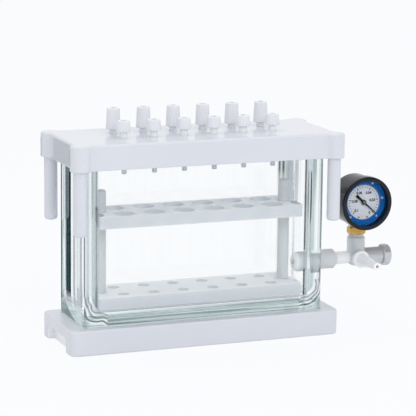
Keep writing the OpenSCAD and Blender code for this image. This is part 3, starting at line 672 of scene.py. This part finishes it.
def addStreaks(tree, place, values):        # two tints drawn out along the axes of small scale
    stretch = addNode(tree, "Mapping", {"Vector": place})
    stretch.inputs["Scale"].default_value = values["scale"]
    noise = addNoise(tree, stretch.outputs[0], 1.0, streakDetail)
    return mixColours(tree, addRange(tree, noise, *values["share"]), *values["tints"])


def addBands(tree, value, bands):        # tints along an axis, from a list of places in millimetres
    first, last = bands[0][0], bands[-1][0]
    ramp = addNode(tree, "ValToRGB", {"Fac": addRange(tree, value, first * mm, last * mm)})
    stops = ramp.color_ramp.elements
    for at, _ in bands[1:-1]:
        stops.new((at - first) / (last - first))
    for stop, (_, tint) in zip(stops, bands):
        stop.color = (*bandTints[tint], 1)
    return ramp.outputs["Color"]


def bendBands(tree, across, up):        # end bands turn in along the rounded lower end of the hollow
    drop = addMath(tree, "POWER", addRange(tree, up, *endSet["bendRise"]), endSet["bendPower"])
    moved = addMath(tree, "ADD", across, addMath(tree, "MULTIPLY", drop, endSet["bendShift"]))
    return addMath(tree, "MINIMUM", moved, addMath(tree, "MAXIMUM", across, endSet["bendLimit"]))


def tintEnds(tree, across, up):        # painted upright bands over a paler foot with a dark edge
    bent = bendBands(tree, across, up)
    edge, line = endSet["footEdge"]
    foot = addMath(tree, "MULTIPLY", addRange(tree, up, *endSet["footRise"]),
                   addMath(tree, "LESS_THAN", across, line))
    beyond = addMath(tree, "MULTIPLY", foot, addMath(tree, "GREATER_THAN", bent, edge))
    faded = addMath(tree, "MULTIPLY", foot, endSet["footFade"])
    bands = mixColours(tree, faded, addBands(tree, bent, endSet["bands"]), bandTints["pale"])
    return mixColours(tree, beyond, bands, endSet["footTint"])


def addSwirls(tree, place, width, up, colour):
    centreX, centreZ = swirlSet["centre"]
    noise = addNoise(tree, place, swirlSet["wobbleSize"], swirlSet["wobbleDetail"])
    right = addMath(tree, "MAXIMUM", addMath(tree, "SUBTRACT", width, centreX))
    below = addMath(tree, "MAXIMUM", addMath(tree, "SUBTRACT", centreZ, up))
    reach = addLength(tree, right, below)
    corner = addMath(tree, "GREATER_THAN", reach, swirlSet["bands"][0][0] * mm)
    for side in (right, below):
        corner = addMath(tree, "MULTIPLY", corner, addMath(tree, "GREATER_THAN", side))
    wobble = addRange(tree, noise, *noiseSpread, -swirlSet["wobble"], swirlSet["wobble"])
    curled = addMath(tree, "ADD", reach, wobble)
    return mixColours(tree, corner, colour, addBands(tree, curled, swirlSet["bands"]))


def footCorners(tree, width, depth, up):        # 1 at the four lowest corners of the tank, where painted dark reflection goes
    corner = addMath(tree, "MINIMUM", addRange(tree, width, *cornerSet["width"]),
                     addRange(tree, depth, *cornerSet["depth"]))
    return addMath(tree, "MULTIPLY", corner, addRange(tree, up, *cornerSet["rise"]))


def nearPort(tree, along, up):        # bands fade in front of the bush
    off = addMath(tree, "ABSOLUTE", addMath(tree, "SUBTRACT", up, portSet["height"]))
    level = addRange(tree, off, *portSet["fade"], 0.0, portSet["share"])
    return addMath(tree, "MULTIPLY", level, addMath(tree, "GREATER_THAN", along, portSet["from"]))


def tintGlassAndPaintReflections(tree, place):        # green of thick glass, with painted reflections: dark and pale bands where one looks along the glass
    along, across, up = splitAxes(tree, place)
    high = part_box("glass_tank")[1]
    byPort = nearPort(tree, along, up)
    width, depth = (addMath(tree, "ABSOLUTE", part) for part in (along, across))
    along, across = (        # the pattern is the same after half a turn
        addMath(tree, "MULTIPLY", part, addMath(tree, "MULTIPLY", addMath(tree, "SIGN", other), -1.0))
        for part, other in ((along, across), (across, along)))
    onEnd = addMath(tree, "GREATER_THAN", addMath(tree, "SUBTRACT", width, depth), high.x - high.y)
    outer = addMath(tree, "MAXIMUM", addMath(tree, "GREATER_THAN", width, high.x - glassSet["outerSkin"]),
                    addMath(tree, "GREATER_THAN", depth, high.y - glassSet["outerSkin"]))
    inward = addNode(tree, "NewGeometry").outputs["Backfacing"]
    entry = addMath(tree, "GREATER_THAN", outer, inward)        # tinted where light goes in
    leaving = addMath(tree, "MULTIPLY", outer, addMath(tree, "GREATER_THAN", inward, onEnd))
    farSide = addMath(tree, "MULTIPLY", leaving, addRange(tree, up, *sideSet["farRise"]))
    low = addRange(tree, up, *sideSet["floorRise"])
    floorTint = addStreaks(tree, place, floorStreaks)
    sides = mixColours(tree, low, addBands(tree, along, sideSet["nearBands"]), floorTint)
    sides = addSwirls(tree, place, width, up, sides)
    sides = mixColours(tree, byPort, sides, portSet["tint"])
    slant = addNode(tree, "LayerWeight").outputs["Facing"]
    seen = addRange(tree, slant, *endSet["slant"])        # end bands show only along the glass
    ends = mixColours(tree, seen, glassSet["tint"], tintEnds(tree, across, up))
    walls = mixColours(tree, footCorners(tree, width, depth, up),
                       mixColours(tree, onEnd, sides, ends), cornerSet["tint"])
    glass = mixColours(tree, farSide, glassSet["tint"], addBands(tree, along, sideSet["farBands"]))
    return mixColours(tree, entry, glass, walls)


def endTrappedLight(tree, out, place):        # painted glow: light caught in the glass ends in an emitted colour of its own
    bounces = addNode(tree, "LightPath").outputs["Ray Depth"]
    caught = addMath(tree, "GREATER_THAN", bounces, trappedDepth)
    glow = addNode(tree, "Emission", {"Color": addStreaks(tree, place, trappedStreaks)})
    surface = out.inputs["Surface"].links[0].from_socket
    tree.links.new(mixShaders(tree, caught, surface, glow.outputs[0]), out.inputs["Surface"])


def makeTankGlass():
    material, tree, shader = newMaterial("tankGlass")
    shader.inputs["Roughness"].default_value = 0.0
    shader.inputs["IOR"].default_value = glassSet["ior"]
    shader.inputs["Transmission Weight"].default_value = 1.0
    place = objectPlace(tree)
    tree.links.new(tintGlassAndPaintReflections(tree, place), shader.inputs["Base Color"])
    waves = addNoise(tree, place, glassSet["waveSize"], glassSet["waveDetail"])
    addBump(tree, shader, waves, *glassSet["wave"])
    out = letShadowsThrough(tree, shader, glassSet["shadeTint"])
    endTrappedLight(tree, out, place)
    depth = addNode(tree, "VolumeAbsorption", {"Color": glassSet["depthTint"],
                                               "Density": glassSet["depthDensity"]})
    tree.links.new(depth.outputs[0], out.inputs["Volume"])
    return material


def makeWindowGlass():
    material, tree, shader = newMaterial("gaugeWindow")
    shader.inputs["Base Color"].default_value = (*windowSet["tint"], 1)
    shader.inputs["IOR"].default_value = windowSet["ior"]
    shader.inputs["Transmission Weight"].default_value = 1.0
    addSkin(tree, shader, windowSet)
    letShadowsThrough(tree, shader, windowSet["shadeTint"])
    return material


tankGlass = makeTankGlass()
windowGlass = makeWindowGlass()

# gauge black, metals and dial paints

blackSet = {"paint": (0.005, 0.007, 0.011), "dust": (0.20, 0.21, 0.23), "amount": 0.02, "gloss": 0.3,
            "grain": 1200.0, "rough": (0.1, 0.17), "bump": (0.12, 0.1 * mm)}
metalSet = {"drift": 160.0, "grain": 1600.0, "rough": (0.16, 0.34), "bump": (0.15, 0.1 * mm)}
metalTints = {
    "socketBrass": ((0.60, 0.38, 0.11), (0.46, 0.28, 0.07)),
    "spindleMetal": ((0.17, 0.16, 0.13), (0.12, 0.11, 0.09)),
}
paintSet = {"drift": 220.0, "grain": 2500.0, "rough": (0.35, 0.5), "bump": (0.05, 0.05 * mm), "gloss": 0.05}
paintTints = {
    "dialBlue": ((0.0005, 0.162, 0.57), (0.0005, 0.13, 0.495)),
    "dialWhite": ((0.78, 0.82, 0.88), (0.70, 0.74, 0.80)),
    "dialLine": ((0.80, 0.84, 0.88), (0.72, 0.76, 0.80)),
    "dialBlack": ((0.012, 0.012, 0.014), (0.02, 0.02, 0.022)),
    "dialOrange": ((0.62, 0.25, 0.03), (0.52, 0.20, 0.02)),
    "needlePaint": ((0.008, 0.008, 0.009), (0.016, 0.016, 0.017)),
}


def makeGaugeBlack():
    material, tree, shader = newMaterial("gaugeBlack")
    film = useGroup(tree, settledDust, {"Base": blackSet["paint"], "Dust": blackSet["dust"],
                                        "Amount": blackSet["amount"]})
    tree.links.new(film["Color"], shader.inputs["Base Color"])
    addSkin(tree, shader, blackSet)
    shader.inputs["Specular IOR Level"].default_value = blackSet["gloss"]
    return material


def makeMetal(name):
    material, tree, shader = newMaterial(name)
    shader.inputs["Metallic"].default_value = 1.0
    tree.links.new(addClouds(tree, metalTints[name], metalSet["drift"]), shader.inputs["Base Color"])
    addSkin(tree, shader, metalSet)
    return material


def makePaint(name):
    material, tree, shader = newMaterial(name)
    tree.links.new(addClouds(tree, paintTints[name], paintSet["drift"]), shader.inputs["Base Color"])
    addSkin(tree, shader, paintSet)
    shader.inputs["Specular IOR Level"].default_value = paintSet["gloss"]
    return material


gaugeBlack = makeGaugeBlack()
metals = {name: makeMetal(name) for name in metalTints}
paints = {name: makePaint(name) for name in paintTints}
print("materials made")

# glass tank

tankSet = {
    "cornerRound": 4 * mm,
    "cornerSteps": 6,
    "footRound": 4 * mm,
    "footSteps": 5,
    "wall": 6 * mm,
    "floor": 11.5 * mm,
    "innerRound": 9 * mm,
    "floorRound": 2.5 * mm,
    "floorSteps": 6,
    "endRound": 9 * mm,
    "hollowSteps": 14,
    "seatGap": 0.25 * mm,
    "portRadius": 7.95 * mm,
    "portHeight": 53.8 * mm,
    "portSides": 64,
    "longEdge": 10 * mm,        # an edge with more reach than this runs in that direction
    "cutReach": 20 * mm,        # how far a cutter stands out of what it cuts
    "smoothAngle": 40,
}


def isUpright(a, b):
    return abs(a.z - b.z) > tankSet["longEdge"]


def isAtFoot(a, b, height):
    return max(a.z, b.z) < height + toolSet["level"]


def makeHollow(low, high):        # drawn-in corners, well rounded lower ends
    hollow = addBlock(low, high)
    roundEdges(hollow, isUpright, tankSet["innerRound"], tankSet["hollowSteps"])
    roundEdges(hollow, lambda a, b: isAtFoot(a, b, low.z), tankSet["floorRound"], tankSet["floorSteps"])
    deep = Vector((0, tankSet["cutReach"], 0))
    ends = addBlock(low - deep, high + deep)
    roundEdges(ends, lambda a, b: isAtFoot(a, b, low.z) and abs(a.y - b.y) > tankSet["longEdge"],
               tankSet["endRound"], tankSet["hollowSteps"])
    cutWith(hollow, ends, "INTERSECT")
    return hollow


def makeTank():
    low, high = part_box("glass_tank")
    low.z += tankSet["seatGap"]
    tank = addBlock(low, high)
    roundEdges(tank, isUpright, tankSet["cornerRound"], tankSet["cornerSteps"])
    roundEdges(tank, lambda a, b: isAtFoot(a, b, low.z), tankSet["footRound"], tankSet["footSteps"])
    wall = tankSet["wall"]
    inLow = Vector((low.x + wall, low.y + wall, low.z - tankSet["seatGap"] + tankSet["floor"]))
    inHigh = Vector((high.x - wall, high.y - wall, high.z + tankSet["cutReach"]))
    cutWith(tank, makeHollow(inLow, inHigh), "DIFFERENCE")
    clearPick()
    bpy.ops.mesh.primitive_cylinder_add(
        vertices=tankSet["portSides"], radius=tankSet["portRadius"], depth=4 * wall,
        location=(high.x - wall / 2, 0, tankSet["portHeight"]), rotation=(0, math.pi / 2, 0))
    cutWith(tank, bpy.context.object, "DIFFERENCE")
    finishPiece(tank, "pressedTank", "stand", [tankGlass], ["glass_tank"],
                tankSet["smoothAngle"])


makeTank()
print("tank made")

# lid

lidSet = {
    "topRound": 2.0 * mm,
    "topSteps": 5,
    "footRound": 0.8 * mm,
    "footSteps": 3,
    "rim": (12 * mm, 9 * mm),        # the outline lies this near the ends and sides
}


def makeLid():
    lid = copyNode("lid_plate")
    low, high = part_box("lid_plate")
    rimX, rimY = lidSet["rim"]

    def isOutline(a, b, height):        # an edge of the lid's outline at this height
        level = max(abs(a.z - height), abs(b.z - height)) < toolSet["level"]
        return level and all(abs(v.x) > high.x - rimX or abs(v.y) > high.y - rimY for v in (a, b))

    roundEdges(lid, lambda a, b: isOutline(a, b, high.z), lidSet["topRound"], lidSet["topSteps"])
    roundEdges(lid, lambda a, b: isOutline(a, b, low.z), lidSet["footRound"], lidSet["footSteps"])
    finishPiece(lid, "lidSlab", "lid", [plastics["lidPlastic"]], ["lid_plate"])


makeLid()
print("lid made")

# gauge dial

dialSet = {
    "lineRadius": 14.2 * mm,
    "whiteRadius": 13.75 * mm,
    "plateSides": 128,
    "zeroAngle": -45,
    "sweep": 270,
    "marks": (("0", -13, 10.7 * mm), ("0.02", 1, 8.0 * mm), ("0.04", -3, 8.7 * mm),
              ("0.06", 0, 8.7 * mm), ("0.08", 2, 7.9 * mm), ("0.1", 3, 9.0 * mm)),
    "outerMarks": ("0", "20", "40", "60", "80", "100"),
    "outerRadius": 17.0 * mm,
    "markHeight": 3.0 * mm,
    "outerHeight": 2.0 * mm,
    "bold": 0.13 * mm,
    "tickOuter": 13.2 * mm,
    "tickLong": (2.2 * mm, 0.65 * mm),
    "tickShort": (1.3 * mm, 0.4 * mm),
    "arcWidth": 0.3 * mm,
    "arcSteps": 108,
    "arcSeed": 0.1 * mm,        # plane that is merged to the arc's first point
    "arcMerge": 0.001 * mm,
    "ticksPerMark": 5,
    "outerTicks": 50,
    "outerTick": (15.2 * mm, 0.6 * mm, 0.2 * mm),
    "printLift": 0.04 * mm,
    "dotAngles": (252, 286),
    "dotRadius": 12.9 * mm,
    "dotSize": 0.85 * mm,
    "dotSides": 24,
    "frontFacing": -0.9,
}


def dialPlace(angle, radius):        # a point just over the dial's face, seen from the front
    low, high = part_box("gauge_dial")
    middle = (low + high) / 2
    turn = math.radians(angle)
    return Vector((middle.x + radius * math.cos(turn), low.y - dialSet["printLift"],
                   middle.z + radius * math.sin(turn)))


def makeDialPlate():
    low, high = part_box("gauge_dial")
    ringRadius = (high.x - low.x) / 2
    clearPick()
    bpy.ops.mesh.primitive_cylinder_add(
        vertices=dialSet["plateSides"], radius=ringRadius, depth=high.y - low.y,
        location=(low + high) / 2, rotation=facingFront)
    plate = bpy.context.object
    settle(plate)
    for name in ("dialBlue", "dialLine", "dialWhite"):
        plate.data.materials.append(paints[name])
    pickFaces(plate, lambda normal: normal.y < dialSet["frontFacing"])
    widths = (ringRadius - dialSet["lineRadius"], dialSet["lineRadius"] - dialSet["whiteRadius"])
    for slot, width in enumerate(widths, start=1):
        bpy.ops.mesh.inset(thickness=width)
        plate.active_material_index = slot
        bpy.ops.object.material_slot_assign()
    bpy.ops.object.mode_set(mode="OBJECT")
    finishPiece(plate, "dialPlate", "stand", None, ["gauge_dial"])


def addNumber(text, height, angle, radius):
    clearPick()
    bpy.ops.object.text_add(location=dialPlace(angle, radius), rotation=facingFront)
    number = bpy.context.object
    number.data.body = text
    number.data.size = height
    number.data.align_x = "CENTER"
    number.data.align_y = "CENTER"
    number.data.offset = dialSet["bold"]
    bpy.ops.object.convert(target="MESH")
    return bpy.context.object


def addArc():        # thin line that the ticks hang from
    clearPick()
    middle = dialPlace(0, 0)
    start = dialPlace(dialSet["zeroAngle"], dialSet["tickOuter"])
    inward = (middle - start).normalized() * dialSet["arcWidth"]
    bpy.ops.mesh.primitive_plane_add(size=dialSet["arcSeed"], location=start)
    arc = bpy.context.object
    settle(arc)
    bpy.ops.object.mode_set(mode="EDIT")
    bpy.ops.mesh.select_all(action="SELECT")
    bpy.ops.mesh.merge(type="CENTER")
    bpy.ops.mesh.extrude_region_move(TRANSFORM_OT_translate={"value": inward})
    bpy.ops.mesh.select_all(action="SELECT")
    bpy.ops.mesh.spin(steps=dialSet["arcSteps"], angle=-math.radians(dialSet["sweep"]), center=middle,
                      axis=(0, 1, 0))
    bpy.ops.mesh.select_all(action="SELECT")
    bpy.ops.mesh.remove_doubles(threshold=dialSet["arcMerge"])
    bpy.ops.mesh.normals_make_consistent(inside=False)
    bpy.ops.object.mode_set(mode="OBJECT")
    return arc


def addTick(angle, outer, length, width):
    clearPick()
    bpy.ops.mesh.primitive_plane_add(size=1, location=dialPlace(angle, outer - length / 2))
    tick = bpy.context.object
    tick.scale = (length, width, 1)
    tick.rotation_euler = (math.pi / 2, -math.radians(angle), 0)
    return tick


def addDot(angle):
    clearPick()
    bpy.ops.mesh.primitive_circle_add(
        vertices=dialSet["dotSides"], radius=dialSet["dotSize"], fill_type="NGON",
        location=dialPlace(angle, dialSet["dotRadius"]), rotation=facingFront)
    return bpy.context.object


def joinPrint(parts, name, material):
    for part in parts:
        settle(part)
    clearPick()
    for part in parts:
        part.select_set(True)
    bpy.context.view_layer.objects.active = parts[0]
    bpy.ops.object.join()
    finishPiece(parts[0], name, "stand", [material])


def makeDialPrint():
    zero, sweep = dialSet["zeroAngle"], dialSet["sweep"]
    count = len(dialSet["marks"]) - 1
    inner, outer = [], []
    for i, ((text, nudge, radius), outerText) in enumerate(zip(dialSet["marks"], dialSet["outerMarks"])):
        angle = zero + i * (sweep / count)
        inner.append(addNumber(text, dialSet["markHeight"], angle + nudge, radius))
        outer.append(addNumber(outerText, dialSet["outerHeight"], angle, dialSet["outerRadius"]))
    inner.append(addArc())
    fine = count * dialSet["ticksPerMark"]
    for i in range(fine + 1):
        length, width = dialSet["tickShort" if i % dialSet["ticksPerMark"] else "tickLong"]
        inner.append(addTick(zero + i * sweep / fine, dialSet["tickOuter"], length, width))
    for i in range(dialSet["outerTicks"] + 1):
        outer.append(addTick(zero + i * (sweep / dialSet["outerTicks"]), *dialSet["outerTick"]))
    joinPrint(inner, "dialScale", paints["dialBlack"])
    joinPrint(outer, "dialOuterScale", paints["dialLine"])
    joinPrint([addDot(angle) for angle in dialSet["dotAngles"]], "dialDots", paints["dialOrange"])


makeDialPlate()
makeDialPrint()
print("dial made")

# finishes of the CAD nodes, by the start of a node's name

nodeFinish = {
    "base_plinth": plastics["gripPlastic"],
    "port_bush": plastics["bushRubber"],
    "tee_body": plastics["teePlastic"],
    "hose_nozzle": plastics["nozzlePlastic"],
    "gauge_socket": metals["socketBrass"],
    "gauge_case": gaugeBlack,
    "gauge_bezel": gaugeBlack,
    "gauge_lens": windowGlass,
    "bourdon_tube": metals["socketBrass"],
    "gauge_movement": metals["socketBrass"],
    "gauge_needle": paints["needlePaint"],
    "needle_spindle": metals["spindleMetal"],
    "bleed_knob": plastics["teePlastic"],
    "bleed_screw": plastics["tipPlastic"],
    "rack_upper_plate": plastics["upperRackPlastic"],
    "rack_lower_plate": plastics["lowerRackPlastic"],
    "rack_post_": plastics["rackPlastic"],
    "lid_gasket": plastics["gasketRubber"],
    "leg_": plastics["basePlastic"],
    "stem_seals": plastics["sealRubber"],
    "outlet_tips": plastics["tipPlastic"],
    "valve_stem_": plastics["stemPlastic"],
    "valve_knob_": plastics["valvePlastic"],
    "glass_tank": tankGlass,
    "lid_plate": plastics["lidPlastic"],
    "gauge_dial": paints["dialBlue"],
}
for name, node in nodes.items():
    material = [value for key, value in nodeFinish.items() if name.startswith(key)][0]
    node.data.materials.clear()
    node.data.materials.append(material)
print("finishes set")
